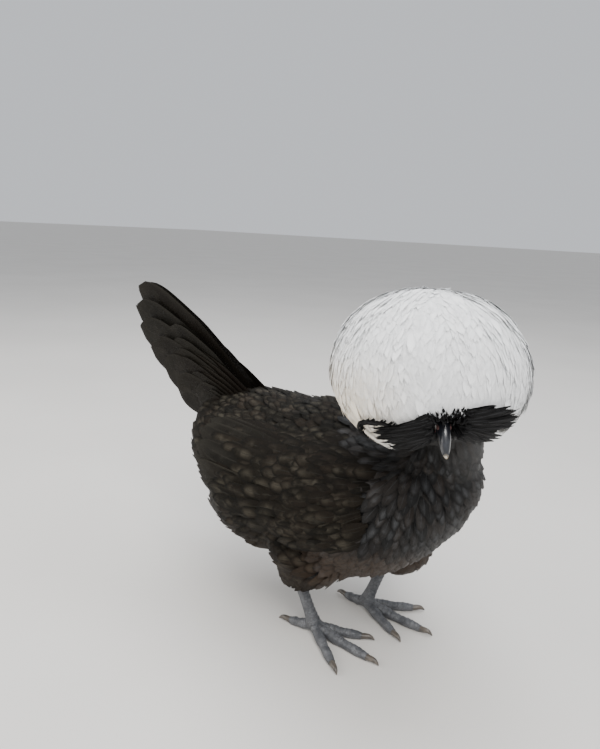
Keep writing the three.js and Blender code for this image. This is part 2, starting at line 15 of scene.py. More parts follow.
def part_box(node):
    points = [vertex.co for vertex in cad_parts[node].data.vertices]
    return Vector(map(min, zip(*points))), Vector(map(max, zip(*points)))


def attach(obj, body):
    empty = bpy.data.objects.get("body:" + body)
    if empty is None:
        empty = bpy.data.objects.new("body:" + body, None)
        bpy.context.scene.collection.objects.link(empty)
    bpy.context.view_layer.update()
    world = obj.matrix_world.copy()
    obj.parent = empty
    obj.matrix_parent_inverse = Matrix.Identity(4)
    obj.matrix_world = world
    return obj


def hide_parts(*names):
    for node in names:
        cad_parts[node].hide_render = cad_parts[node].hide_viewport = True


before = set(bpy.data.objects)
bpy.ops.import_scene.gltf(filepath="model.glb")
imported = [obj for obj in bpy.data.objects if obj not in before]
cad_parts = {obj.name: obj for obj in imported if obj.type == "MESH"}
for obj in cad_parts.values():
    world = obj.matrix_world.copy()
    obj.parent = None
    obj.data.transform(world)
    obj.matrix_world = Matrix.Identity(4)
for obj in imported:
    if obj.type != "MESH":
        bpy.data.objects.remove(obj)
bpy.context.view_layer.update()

# ---- Driving sizes, in millimetres and degrees, in the bird frame ----
MM = 0.001
UP = Vector((0, 0, 1))
SIDES = ((1, "left"), (-1, "right"))
TORSO_MIDDLE, TORSO_HALF = -25.0, 129.0
TORSO_AXIS = [152, 142, 132, 126, 124, 125, 130, 140, 152]
TORSO_UP = [62, 64, 67, 68, 70, 74, 76, 72, 60]
TORSO_DOWN = [80, 80, 82, 76, 70, 69, 73, 72, 68]
TORSO_SIDE = [84, 82, 78, 74, 73, 76, 83, 88, 86]
TORSO_FULLNESS = {"rear": 2.7, "front": 2.15}
HEAD_CENTRE = Vector((97, -77.5, 229.5))
HEAD_YAW, HEAD_PITCH, HEAD_ROLL = -54, 27, 4
HEAD_RADIUS = 25
CREST_CENTRE = Vector((79, -53, 243))
CREST_REACH = Vector((55.5, 61, 51.5))
CREST_TILT = 8
THROAT = Vector((92, -58, 222))
TAIL_ROOT = Vector((-108, 0, 172))
TAIL_TURN = -1
TAIL_OUT = [150, 151, 142, 123, 101, 80]
TAIL_UP = [89, 71, 53, 36, 20, 4]
EYE_RADIUS = 5.2
EYE_PLACE = (1, 9.6, 1.5)
HOCK, FOOT = (-27, 37, 54), (-10, 28, 6)
LEFT_AHEAD = {"hock": 50, "foot": 18}
SHANK_RADIUS = 4.6
TOE_WIDTH = 8.4
TOES = {"inner": (40, -26, 9), "middle": (52, 2, 12), "outer": (42, 36, 9), "hind": (22, 172, 4)}
CLAW_LENGTH = 11

torso_low, torso_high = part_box("torso")
SHIFT = Vector((
    (torso_low.x + torso_high.x) / 2 / MM - TORSO_MIDDLE, (torso_low.y + torso_high.y) / 2 / MM, 0))


# ---- Small helpers ----
def smooth(low, high, value):
    """A soft step from 0 at low to 1 at high, which may be the smaller of the two."""
    t = min(1.0, max(0.0, (value - low) / (high - low)))
    return t * t * (3 - 2 * t)


def mix(a, b, t):
    return a + (b - a) * t


def shares(count):
    """That many shares from 0 to 1, evenly spaced."""
    return [i / (count - 1) for i in range(count)]


def along(values, t):
    """A value at share t of a row of evenly spaced values, on a smooth curve through them."""
    place = min(1.0, max(0.0, t)) * (len(values) - 1)
    i = min(int(place), len(values) - 2)
    f = place - i
    a, b = values[i], values[i + 1]
    slope_a = (b - values[i - 1]) / 2 if i > 0 else b - a
    slope_b = (values[i + 2] - a) / 2 if i + 2 < len(values) else b - a
    bend = f * (1 - f)
    return mix(a, b, f * f * (3 - 2 * f)) + bend * ((1 - f) * slope_a - f * slope_b)


def spline(points, t):
    """A point at share t of a smooth curve through points."""
    return Vector([along([p[k] for p in points], t) for k in range(3)])


def bezier(points, t):
    row = list(points)
    while len(row) > 1:
        row = [a.lerp(b, t) for a, b in zip(row, row[1:])]
    return row[0]


def through(start, middle, end):
    """The three control points of a Bezier curve that passes through middle at its half."""
    return [start, middle * 2 - start * 0.5 - end * 0.5, end]


def sphere(polar, azimuth):
    return Vector((sin(polar) * cos(azimuth), sin(polar) * sin(azimuth), cos(polar)))


def turned(vector, degrees, axis):
    vector = vector.copy()
    vector.rotate(Matrix.Rotation(radians(degrees), 3, axis))
    return vector


head_frame = Matrix.Translation(HEAD_CENTRE) @ Euler(
    [radians(a) for a in (HEAD_ROLL, HEAD_PITCH, HEAD_YAW)], "XYZ"
).to_matrix().to_4x4()
to_head = head_frame.inverted()


def on_head(x, y, z):
    return head_frame @ Vector((x, y, z))


def torso_at(x, degrees, side, lift):
    """A point over the torso and its outward normal: x along the body, degrees up from level."""
    def point(lengthwise, around):
        t = (lengthwise + 1) / 2
        fullness = TORSO_FULLNESS["rear" if lengthwise < 0 else "front"]
        rim = sqrt(max(0.0, 1 - abs(lengthwise) ** fullness))
        rise = along(TORSO_UP, t) if sin(around) > 0 else along(TORSO_DOWN, t)
        return Vector((
            TORSO_MIDDLE + lengthwise * TORSO_HALF,
            along(TORSO_SIDE, t) * rim * cos(around),
            along(TORSO_AXIS, t) + rise * rim * sin(around),
        ))
    step = 0.01
    lengthwise, around = (x - TORSO_MIDDLE) / TORSO_HALF, radians(degrees)
    place = point(lengthwise, around)
    ahead = point(lengthwise + step, around) - place
    upward = point(lengthwise, around + step) - place
    normal = upward.cross(ahead).normalized()
    place = place + normal * lift
    return Vector((place.x, side * place.y, place.z)), Vector((normal.x, side * normal.y, normal.z))


def crest_way(polar, azimuth):
    """A direction from the crest's centre, in the crest's own frame."""
    return sphere(radians(polar), radians(azimuth))


def crest_towards(way, share):
    """The place that far out along a direction, 1 at the crest's ellipsoid."""
    place = Vector(reach * part for reach, part in zip(CREST_REACH, way)) * share
    return turned(turned(place, CREST_TILT, "Y"), HEAD_YAW, "Z") + CREST_CENTRE


def crest_at(polar, azimuth, share):
    return crest_towards(crest_way(polar, azimuth), share)


def crest_share(point):
    """How far out a point is from the crest's centre, 1 at its ellipsoid."""
    place = turned(turned(point - CREST_CENTRE, -HEAD_YAW, "Z"), -CREST_TILT, "Y")
    return Vector(part / reach for part, reach in zip(place, CREST_REACH)).length


# ---- Materials ----
class Shader:
    """A material's nodes, by short calls."""

    def __init__(self, name):
        self.material = bpy.data.materials.new(name)
        self.material.use_nodes = True
        self.tree = self.material.node_tree
        self.surface = self.tree.nodes["Principled BSDF"].inputs

    def node(self, kind):
        return self.tree.nodes.new(kind)

    def put(self, socket, value):
        """Links a socket to an output, or sets its colour or number."""
        if isinstance(value, bpy.types.NodeSocket):
            self.tree.links.new(value, socket)
        else:
            socket.default_value = (*value, 1) if isinstance(value, tuple) else value

    def math(self, operation, *values, clamp=False):
        node = self.node("ShaderNodeMath")
        node.operation, node.use_clamp = operation, clamp
        for socket, value in zip(node.inputs, values):
            self.put(socket, value)
        return node.outputs[0]

    def times(self, a, b, clamp=False):
        return self.math("MULTIPLY", a, b, clamp=clamp)

    def plus(self, a, b, clamp=False):
        return self.math("ADD", a, b, clamp=clamp)

    def ramp(self, factor, *stops):
        node = self.node("ShaderNodeValToRGB")
        self.put(node.inputs[0], factor)
        elements = node.color_ramp.elements
        while len(elements) < len(stops):
            elements.new(0.5)
        for element, (place, value) in zip(elements, stops):
            element.position = place
            element.color = (*value, 1) if isinstance(value, tuple) else (value, value, value, 1)
        return node.outputs[0]

    def blend(self, factor, a, b):
        node = self.node("ShaderNodeMix")
        node.data_type = "RGBA"
        for index, value in ((0, factor), (6, a), (7, b)):
            self.put(node.inputs[index], value)
        return node.outputs[2]

    def attribute(self, name):
        node = self.node("ShaderNodeAttribute")
        node.attribute_name = name
        return node.outputs["Fac"]

    def texture(self, kind, scale):
        node = self.node(kind)
        node.inputs["Scale"].default_value = scale
        self.put(node.inputs["Vector"], self.node("ShaderNodeTexCoord").outputs["Object"])
        return node

    def noise(self, scale, detail):
        node = self.texture("ShaderNodeTexNoise", scale)
        node.inputs["Detail"].default_value = detail
        return node.outputs["Fac"]

    def bump(self, height, strength, distance):
        node = self.node("ShaderNodeBump")
        node.inputs["Strength"].default_value = strength
        node.inputs["Distance"].default_value = distance * MM
        self.put(node.inputs["Height"], height)
        self.put(self.surface["Normal"], node.outputs[0])

    def finish(self, colour, **settings):
        """The finished material. A setting's name has _ for a space."""
        self.put(self.surface["Base Color"], colour)
        for name, value in settings.items():
            self.surface[name.replace("_", " ")].default_value = value
        return self.material


BARBS_ALONG, BARB_SLANT, BARB_WOBBLE, BARB_START = 46.0, 9.0, 5.0, 40.0


def feather_material(name, dark, light, painted_sheen, rim, shaft, warm, height, roughness, specular, **settings):
    """Barbs slant from the shaft to the rim, and the vane's middle has a painted sheen, a soft highlight,
    near its tip.

    From vane to vane, tint varies the shade, edge the rim and warm the share of the warm colour. Height is
    how high the barbs stand, in millimetres.
    """
    shader = Shader(name)
    times, plus, ramp, blend = shader.times, shader.plus, shader.ramp, shader.blend
    uv = shader.node("ShaderNodeUVMap")
    uv.uv_map = "Vane"
    split = shader.node("ShaderNodeSeparateXYZ")
    shader.put(split.inputs[0], uv.outputs[0])
    length, across = split.outputs[0], split.outputs[1]
    outwards = times(shader.math("ABSOLUTE", shader.math("SUBTRACT", across, 0.5)), 2.0)
    tint, edge, brown = (shader.attribute(key) for key in ("tint", "edge", "warm"))
    slant = shader.math("SUBTRACT", times(length, BARBS_ALONG), times(outwards, BARB_SLANT))
    start = plus(times(shader.noise(260, 2), BARB_WOBBLE), times(tint, BARB_START))
    barbs = plus(times(shader.math("SINE", times(plus(slant, start), tau)), 0.5), 0.5)
    shade = plus(times(tint, 0.55), times(shader.noise(38, 3), 0.5), clamp=True)
    colour = blend(times(barbs, 0.32), blend(shade, dark, light), light)
    # Painted sheen: a lighter patch near each vane's tip, broken into soft spots, stands in for light
    # glinting on the feather.
    painted_sheen_patch = times(ramp(length, (0.38, 0.0), (0.68, 1.0), (0.86, 0.8), (0.99, 0.0)),
                  ramp(outwards, (0.1, 1.0), (0.82, 0.0)))
    spots = ramp(shader.noise(95, 2), (0.42, 0.08), (0.62, 1.0))
    painted_sheen_patch = times(times(painted_sheen_patch, spots), plus(times(shade, 0.9), 0.2), clamp=True)
    colour = blend(times(brown, 0.75), blend(painted_sheen_patch, colour, painted_sheen), warm)
    # The border takes the rim colour at the vane's edges; where that colour is lighter than the vane, as in
    # the flight plumage, it is a painted highlight along the edges.
    border = shader.math("MAXIMUM", ramp(outwards, (0.72, 0.0), (0.98, 1.0)),
                         ramp(length, (0.84, 0.0), (0.99, 1.0)))
    border = times(times(border, ramp(length, (0.35, 0.0), (0.7, 1.0))), edge)
    quill = times(ramp(outwards, (0.0, 1.0), (0.085, 0.0)), ramp(length, (0.55, 1.0), (0.97, 0.2)))
    shader.bump(plus(barbs, times(quill, 2.5)), 0.6, height)
    return shader.finish(blend(quill, blend(border, colour, rim), shaft),
                         Roughness=roughness, Specular_IOR_Level=specular, **settings)


# The third colour of each plumage is its painted sheen, a highlight painted near each vane's tip.
black_vane = feather_material(
    "black_plumage", (0.0014, 0.0012, 0.0010), (0.0062, 0.0052, 0.0034), (0.050, 0.044, 0.033),
    (0.0050, 0.0046, 0.0037), (0.018, 0.017, 0.014), (0.058, 0.040, 0.028), 0.12, 0.5, 0.06)
breast_vane = feather_material(
    "breast_plumage", (0.0012, 0.0012, 0.0013), (0.0085, 0.0086, 0.0088), (0.052, 0.054, 0.057),
    (0.004, 0.004, 0.004), (0.030, 0.031, 0.033), (0.058, 0.040, 0.028), 0.12, 0.42, 0.14)
# Flight and tail vanes are lighter than the black plumage: painted light from above. Their rim colour,
# lighter still, is a painted highlight along the vane edges.
flight_vane = feather_material(
    "flight_plumage", (0.0020, 0.0018, 0.0014), (0.009, 0.008, 0.006), (0.022, 0.020, 0.016),
    (0.020, 0.018, 0.014), (0.020, 0.018, 0.015), (0.024, 0.0135, 0.0095), 0.12, 0.5, 0.06)
# The white's faint blue cast is painted cool sky light; its warm colour, the cream, is partly stain and
# partly painted warm light.
white_vane = feather_material(
    "white_plumage", (0.915, 0.93, 0.94), (0.955, 0.968, 0.975), (0.97, 0.978, 0.98),
    (0.94, 0.95, 0.955), (0.95, 0.958, 0.962), (0.91, 0.76, 0.52), 0.03, 0.7, 0.2,
    Subsurface_Weight=0.3, Subsurface_Radius=(1.0, 1.0, 1.0), Subsurface_Scale=0.002)
face_vane = feather_material(
    "face_plumage", (0.0008, 0.0008, 0.0009), (0.0036, 0.0035, 0.0038), (0.014, 0.0142, 0.0155),
    (0.003, 0.003, 0.003), (0.060, 0.062, 0.066), (0.03, 0.02, 0.015), 0.08, 0.42, 0.10)


def plain_material(name, low, high, scale, roughness, bump_height):
    """A surface between two colours of noise, with a fine bump of the same noise."""
    shader = Shader(name)
    pattern = shader.noise(scale, 4)
    shader.bump(pattern, 0.5, bump_height)
    return shader.finish(shader.ramp(pattern, (0.32, low), (0.7, high)), Roughness=roughness)


down_black = plain_material("black_down", (0.004, 0.004, 0.0038), (0.010, 0.009, 0.0085), 160, 0.8, 0.8)
down_white = plain_material("white_down", (0.93, 0.92, 0.90), (0.96, 0.955, 0.94), 120, 0.85, 0.8)
knob_skin = plain_material("knob_skin", (0.16, 0.085, 0.08), (0.34, 0.20, 0.19), 700, 0.45, 0.2)
lid_skin = plain_material("lid_skin", (0.035, 0.02, 0.018), (0.09, 0.035, 0.03), 900, 0.55, 0.2)
wattle_skin = plain_material("wattle_skin", (0.30, 0.03, 0.025), (0.45, 0.06, 0.05), 700, 0.5, 0.25)
claw_horn = plain_material("claw_horn", (0.05, 0.045, 0.04), (0.13, 0.11, 0.09), 300, 0.35, 0.1)


def horn_material():
    """Dark slate horn, reddish at its root and pale at its tip."""
    shader = Shader("beak_horn")
    tip, pattern = shader.attribute("tint"), shader.noise(420, 5)
    colour = shader.ramp(pattern, (0.3, (0.006, 0.0065, 0.009)), (0.75, (0.022, 0.025, 0.032)))
    colour = shader.blend(shader.ramp(tip, (0.90, 0.0), (0.985, 1.0)), colour, (0.42, 0.36, 0.27))
    colour = shader.blend(shader.ramp(tip, (0.0, 0.75), (0.16, 0.0)), colour, (0.16, 0.075, 0.06))
    shader.bump(pattern, 0.35, 0.15)
    return shader.finish(colour, Roughness=0.3, Coat_Weight=0.8, Coat_Roughness=0.12)


def eye_material():
    """A black pupil in a reddish brown iris, under a wet coat."""
    shader = Shader("eye")
    iris = shader.ramp(shader.noise(1500, 3), (0.3, (0.10, 0.03, 0.012)), (0.7, (0.26, 0.09, 0.03)))
    pupil = shader.ramp(shader.attribute("tint"), (0.46, 0.0), (0.50, 1.0))
    colour = shader.blend(pupil, (0.003, 0.003, 0.003), iris)
    return shader.finish(colour, Roughness=0.05, Coat_Weight=1.0, Coat_Roughness=0.02)


def leg_material():
    """Slate scales with dark seams."""
    shader = Shader("leg_scale")
    cells = shader.texture("ShaderNodeTexVoronoi", 480)
    cells.feature = "DISTANCE_TO_EDGE"
    seams = shader.ramp(cells.outputs["Distance"], (0.0, 0.0), (0.12, 1.0))
    slate = shader.ramp(shader.noise(150, 4), (0.3, (0.050, 0.054, 0.062)), (0.72, (0.150, 0.155, 0.165)))
    step = shader.ramp(shader.attribute("tint"), (0.0, 0.0), (0.2, 1.0))
    shader.bump(seams, 0.5, 0.25)
    return shader.finish(shader.blend(shader.times(seams, step), (0.05, 0.05, 0.052), slate), Roughness=0.5)


beak_horn, eye_gloss, leg_scale = horn_material(), eye_material(), leg_material()


# ---- Meshes ----
BAKE_PATCH = 0.003
UNWRAP_LOW, UNWRAP_TURN, UNWRAP_LENGTH = 0.05, 0.8, 0.9
BODY_REAR, BODY_LENGTH = -270, 410


def body_unwrap(point):
    """A place on the body's own unwrap: turns round the body's long axis, and its length."""
    t = (point.x - TORSO_MIDDLE) / TORSO_HALF / 2 + 0.5
    around = math.atan2(point.z - along(TORSO_AXIS, t), point.y) / tau + 0.5
    ahead = min(1.0, max(0.0, (point.x - BODY_REAR) / BODY_LENGTH))
    return UNWRAP_LOW + UNWRAP_TURN * around, UNWRAP_LOW + UNWRAP_LENGTH * ahead


def crest_unwrap(point):
    """A place on the crest's own unwrap: turns round its upright axis, and how far down it is."""
    place = (point - CREST_CENTRE).normalized()
    around = math.atan2(place.y, place.x) / tau + 0.5
    down = math.acos(max(-1.0, min(1.0, place.z))) / pi
    return UNWRAP_LOW + UNWRAP_TURN * around, UNWRAP_LOW + UNWRAP_LENGTH * down


def linked(name, coordinates, faces):
    """A mesh object from places in the model's own frame, in metres."""
    mesh = bpy.data.meshes.new(name)
    mesh.from_pydata(coordinates, [], faces)
    piece = bpy.data.objects.new(name, mesh)
    bpy.context.scene.collection.objects.link(piece)
    return piece


def finish_piece(piece, material, nodes=()):
    piece.data.materials.append(material)
    piece.data.shade_smooth()
    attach(piece, "root")
    if nodes:
        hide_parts(*nodes)


def solid_piece(name, points, faces, material, nodes=(), tint=None):
    piece = linked(name, [(Vector(p) + SHIFT) * MM for p in points], faces)
    if tint:
        piece.data.attributes.new("tint", "FLOAT", "POINT").data.foreach_set("value", tint)
    finish_piece(piece, material, nodes)


def ring_faces(rings, sides, start=0, flipped=False):
    """The quads between rings of points."""
    faces = []
    for i, k in product(range(rings), range(sides)):
        a, b = start + i * sides + k, start + i * sides + (k + 1) % sides
        faces.append([a, b, b + sides, a + sides] if flipped else [a, a + sides, b + sides, b])
    return faces


class Coat:
    """Vanes gathered into one mesh. Each has its own place in the Vane and OFBake maps.

    Where outward is given, the shading normals lean towards it by the share softness.
    """

    def __init__(self, unwrap=body_unwrap, outward=None, softness=0.0):
        self.unwrap, self.outward, self.softness = unwrap, outward, softness
        self.points, self.faces, self.vane, self.bake, self.values = [], [], [], [], []
        self.count = 0

    def add(self, grid, tint, edge, warm):
        rows, columns = grid.shape[:2]
        u, v = np.meshgrid(np.linspace(0, 1, rows), np.linspace(0, 1, columns), indexing="ij")
        a = (np.arange(rows - 1)[:, None] * columns + np.arange(columns - 1)[None, :]).ravel() + self.count
        self.faces.append(np.stack([a, a + 1, a + columns + 1, a + columns], 1))
        self.points.append(grid.reshape(-1, 3))
        self.vane.append(np.stack([u.ravel(), v.ravel()], 1))
        centre = self.unwrap(Vector(grid[0, columns // 2]))
        self.bake.append(np.stack([
            centre[0] + BAKE_PATCH * (v.ravel() - 0.5), centre[1] + BAKE_PATCH * (u.ravel() - 0.5)], 1))
        self.values.append(np.tile([tint, edge, warm], (rows * columns, 1)))
        self.count += rows * columns

    def build(self, name, material, slot, nodes=()):
        places = np.concatenate(self.points)
        piece = linked(name, (places + np.array(SHIFT)) * MM, np.concatenate(self.faces).tolist())
        mesh = piece.data
        corners = np.empty(len(mesh.loops), np.int32)
        mesh.loops.foreach_get("vertex_index", corners)
        for layer, patches in (("Vane", self.vane), ("OFBake", self.bake)):
            uv = mesh.uv_layers.new(name=layer)
            uv.data.foreach_set("uv", np.concatenate(patches)[corners].astype(np.float32).ravel())
        values = np.concatenate(self.values).astype(np.float32)
        for column, key in enumerate(("tint", "edge", "warm")):
            mesh.attributes.new(key, "FLOAT", "POINT").data.foreach_set("value", values[:, column].copy())
        finish_piece(piece, material, nodes)
        if self.outward:
            own = np.empty(3 * len(places), np.float32)
            mesh.vertex_normals.foreach_get("vector", own)
            own = own.reshape(-1, 3)
            outward = np.array([self.outward(Vector(place)) for place in places])
            facing = np.where(np.sum(own * outward, 1) < 0, -1.0, 1.0)[:, None]
            normals = own * (1 - self.softness) + facing * outward * self.softness
            mesh.normals_split_custom_set_from_vertices(normals.tolist())


def plate(draw, centres, outs, width, roll, camber, blunt, fray, columns=5, root=0.35):
    """A vane's grid of points: rows along its centre line, columns across it.

    Root is the share of its width at the root, blunt where its tip starts to round off, camber how far its
    edges bend in, and fray how unevenly its tip ends, in millimetres.
    """
    full_from, fray_from, fray_length, tip_share = 0.45, 0.55, 0.45, 0.12
    centres, outs = np.array(centres, float), np.array(outs, float)
    forward = np.gradient(centres, axis=0)
    forward /= np.linalg.norm(forward, axis=1)[:, None]
    outs -= forward * np.sum(outs * forward, 1)[:, None]
    outs /= np.linalg.norm(outs, axis=1)[:, None]
    side = np.cross(outs, forward)
    outs, side = outs * cos(roll) + side * sin(roll), side * cos(roll) - outs * sin(roll)
    t = np.linspace(0, 1, len(centres))
    taper = np.sqrt(np.maximum(0.0, 1 - np.maximum(0, (t - blunt) / (1.0 - blunt)) ** 2.4))
    fullness = np.minimum(1, root + (1 - root) * t / full_from) * np.maximum(taper, tip_share)
    half = (width / 2 * fullness)[:, None]
    across = np.linspace(-1, 1, columns)[None, :]
    grid = (centres[:, None, :] + side[:, None, :] * (half * across)[:, :, None]
            - outs[:, None, :] * (camber * half * across ** 2)[:, :, None])
    frayed = np.maximum(0, (t - fray_from) / fray_length)[:, None] * draw(-1, 0.6, (1, columns)) * fray
    return grid + forward[:, None, :] * frayed[:, :, None]


# ---- The skin: one surface over the flesh nodes, let in by the coat's depth ----
FLESH = ["torso", "neck", "head", "thigh_left", "thigh_right"]
RUMP_CENTRE, RUMP_SIZE = Vector((-102, 0, 160)), Vector((42, 34, 33))
RUMP_RINGS, RUMP_SIDES = 12, 20
SKIN_VOXEL = 3.6
SKIN_DEPTH, VENT_DEPTH, SADDLE_DEPTH = 3.0, 10, 4.5


def make_skin():
    points, faces = [], []
    for name in FLESH:
        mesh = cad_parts[name].data
        start = len(points)
        points += [v.co.copy() for v in mesh.vertices]
        faces += [[start + i for i in p.vertices] for p in mesh.polygons]
    start = len(points)
    for i, k in product(range(RUMP_RINGS + 1), range(RUMP_SIDES)):
        unit = sphere(pi * i / RUMP_RINGS, tau * k / RUMP_SIDES)
        place = RUMP_CENTRE + Vector(a * b for a, b in zip(unit, RUMP_SIZE))
        points.append((place + SHIFT) * MM)
    faces += ring_faces(RUMP_RINGS, RUMP_SIDES, start)
    piece = linked("skin", points, faces)
    remesh = piece.modifiers.new("one_surface", "REMESH")
    remesh.mode, remesh.voxel_size = "VOXEL", SKIN_VOXEL * MM
    soften = piece.modifiers.new("soften", "SMOOTH")
    soften.factor, soften.iterations = 0.5, 9
    evaluated = piece.evaluated_get(bpy.context.evaluated_depsgraph_get())
    final = bpy.data.meshes.new_from_object(evaluated)
    piece.modifiers.clear()
    piece.data = final
    normals = [v.normal.copy() for v in final.vertices]
    for vertex, normal in zip(final.vertices, normals):
        place = vertex.co / MM - SHIFT
        vent = smooth(-80, -118, place.x) * math.exp(-((place.z - 114) / 17) ** 2)
        saddle = smooth(168, 184, place.z) * smooth(-25, -60, place.x)
        vertex.co -= normal * ((SKIN_DEPTH + VENT_DEPTH * vent + SADDLE_DEPTH * saddle) * MM)
    places = [body_unwrap(v.co / MM - SHIFT) for v in final.vertices]
    uv = final.uv_layers.new(name="OFBake")
    for polygon in final.polygons:
        turns = [places[i][0] for i in polygon.vertices]
        wraps = max(turns) - min(turns) > UNWRAP_TURN / 2
        for loop, i, turn in zip(polygon.loop_indices, polygon.vertices, turns):
            past = wraps and turn < UNWRAP_LOW + UNWRAP_TURN / 2
            uv.data[loop].uv = (turn + UNWRAP_TURN if past else turn, places[i][1])
    finish_piece(piece, down_black, FLESH)
    return piece


skin = make_skin()
surface_points = [v.co / MM - SHIFT for v in skin.data.vertices]
surface = BVHTree.FromPolygons(surface_points, [list(p.vertices) for p in skin.data.polygons])


def settle(point):
    return surface.find_nearest(point)[:2]


def skin_normal(point):
    return surface.find_nearest(point)[1]


def scatter(spacing_of, tries, seed):
    """Places over the skin, with normals, that keep their spacing from one another."""
    random = np.random.default_rng(seed)
    polygons = skin.data.polygons
    areas = np.array([p.area for p in polygons])
    chosen = random.choice(len(polygons), tries, p=areas / areas.sum())
    spots = random.uniform(0, 1, (tries, 2))
    cell = 9.0
    grid, found = {}, []
    for index, (a, b) in zip(chosen, spots):
        corners = [surface_points[i] for i in polygons[int(index)].vertices]
        place = corners[0].lerp(corners[1], a).lerp(corners[-1].lerp(corners[2], a), b)
        spacing = spacing_of(place)
        if not spacing:
            continue
        key = [int(part // cell) for part in place]
        near = (other for i in (-1, 0, 1) for j in (-1, 0, 1) for k in (-1, 0, 1)
                for other in grid.get((key[0] + i, key[1] + j, key[2] + k), ()))
        if all((place - other).length_squared > spacing * spacing for other in near):
            grid.setdefault(tuple(key), []).append(place)
            found.append((place, polygons[int(index)].normal.copy()))
    return found


# ---- Body feathers ----
SCATTER_TRIES, LAY_STEPS = 130000, 6
ROOT_DEPTH = 0.8


def torso_degrees(point):
    t = (point.x - TORSO_MIDDLE) / TORSO_HALF / 2 + 0.5
    height = point.z - along(TORSO_AXIS, t)
    rise = along(TORSO_UP, t) if height > 0 else along(TORSO_DOWN, t)
    return math.degrees(math.atan2(height / rise, abs(point.y) / along(TORSO_SIDE, t)))


def is_head(point):
    return (point - HEAD_CENTRE).length < HEAD_RADIUS


def is_thigh(point):
    return point.z < 80 and abs(point.y) > 16 and -48 < point.x < 42 and point.z < 62 + 0.25 * abs(point.y)


def under_wing(point):
    return -62 < point.x < 26 and 6 < torso_degrees(point) < 36 and abs(point.y) > 40 and point.z < 184


def neck_share(point):
    return smooth(180, 205, point.z) * smooth(40, 60, point.x)


def heading(point, normal):
    """The way the coat lies: out from the throat over the breast, then back and a little down."""
    if is_head(point):
        way = point - on_head(20, 0, -2)
    elif is_thigh(point):
        way = Vector((-0.45, 0, -1))
    else:
        spread = (point - THROAT).normalized()
        back = Vector((-1, 0, mix(-0.2, 0.55, smooth(-70, -120, point.x) * smooth(140, 165, point.z))))
        if point.z < 130:
            back = Vector((-1, 0, -0.3 * smooth(50, 120, point.z)))
        way = back.lerp(spread, smooth(-20, 75, point.x))
    way = way - normal * way.dot(normal)
    return way.normalized()


def coat_spacing(point):
    """How far apart feathers stand, or 0 where the crest or a wing covers the skin."""
    if crest_share(point) < 0.82 and (to_head @ point).x < 4 or under_wing(point):
        return 0
    if is_head(point):
        return 2.6
    if is_thigh(point):
        return 5.0
    return mix(mix(5.7, 5.0, smooth(10, 60, point.x)), 3.9, neck_share(point))


def feather_size(place, rear, belly):
    """A feather's length and width, how far its tip stands off, and how strong its rim's colour is."""
    if is_head(place):
        return 8.0, 4.2, 1.2, 0.15
    if is_thigh(place):
        return 17.0, 8.5, 3.2, 0.2
    neck, breast = neck_share(place), smooth(10, 60, place.x)
    flank = smooth(135, 110, place.z) * smooth(60, 20, place.x)
    length = mix(mix(mix(18, 24, neck), 27, rear), 22, belly)
    width = mix(mix(mix(9.6, 7.8, breast), 5.4, neck), 10.5, rear)
    lift = mix(mix(3.4, 3.0, neck), 5.4, max(rear, 0.6 * flank))
    return length, width, lift, mix(0.6, 0.3, max(rear, belly, neck))


def extra_lift(place):
    """Room for a feather's tip over the wing's front edge, and under the rump."""
    degrees = torso_degrees(place)
    over_wing = smooth(22, 38, place.x) * smooth(72, 52, place.x) * smooth(-24, -8, degrees)
    over_wing *= smooth(60, 45, degrees) * smooth(30, 50, abs(place.y))
    return 2.6 * over_wing + 3.0 * smooth(-78, -100, place.x) * smooth(106, 88, place.z)


def laid(place, normal, way, length, lift):
    """A feather's centre line over the skin, and its outward directions."""
    centres, outs, point, out = [], [], place, normal
    for i in range(LAY_STEPS + 1):
        t = i / LAY_STEPS
        centres.append(point + out * mix(-ROOT_DEPTH, lift, t ** 0.85))
        outs.append(out)
        way = (way * 2 + heading(point, out)).normalized()
        way = (way - out * way.dot(out)).normalized()
        point, out = settle(point + way * (length / LAY_STEPS))
    return centres, outs


def body_feathers():
    draw = np.random.default_rng(11).uniform
    coats = {word: Coat(body_unwrap, skin_normal, 0.55) for word in ("front", "back", "rear_and_thigh")}
    for place, normal in scatter(coat_spacing, SCATTER_TRIES, 3):
        rear = smooth(-50, -90, place.x) * smooth(165, 125, place.z)
        belly = smooth(100, 70, place.z)
        length, width, lift, edge = feather_size(place, rear, belly)
        lift += extra_lift(place)
        length *= draw(0.84, 1.18)
        width *= draw(0.86, 1.14)
        way = heading(place, normal)
        way.rotate(Matrix.Rotation(draw(-0.22, 0.22), 3, normal))
        centres, outs = laid(place, normal, way, length, lift * draw(0.8, 1.25))
        flank_tint = 0.9 * smooth(134, 106, place.z) * smooth(-5, 30, place.x) * smooth(95, 60, place.x)
        under_tint = (0.35 if is_thigh(place) else 0.55 * belly) * draw(0.6, 1)
        warm = max(flank_tint, under_tint, 0.25 * draw(0, 1) ** 2)
        word, fray = "front" if place.x > 20 else "back", 1.0
        if rear > 0.5 or is_thigh(place):
            word, fray = "rear_and_thigh", 2.4
        grid = plate(draw, centres, outs, width, draw(-0.14, 0.14), 0.08, 0.42, fray)
        coats[word].add(grid, tint=draw(0, 1), edge=edge * draw(0.4, 1.3), warm=warm)
    for word, coat in coats.items():
        coat.build(f"{word}_feathers", breast_vane if word == "front" else black_vane, "body_plumage")


# ---- Wings: each vane runs from a start to an end, given as x and degrees up round the torso ----
SECONDARY_REACH = [-86, -94, -101, -105, -105, -102, -98]
WING_TUCK = {1: (10, 22, 46), -1: (7, 30, 50)}


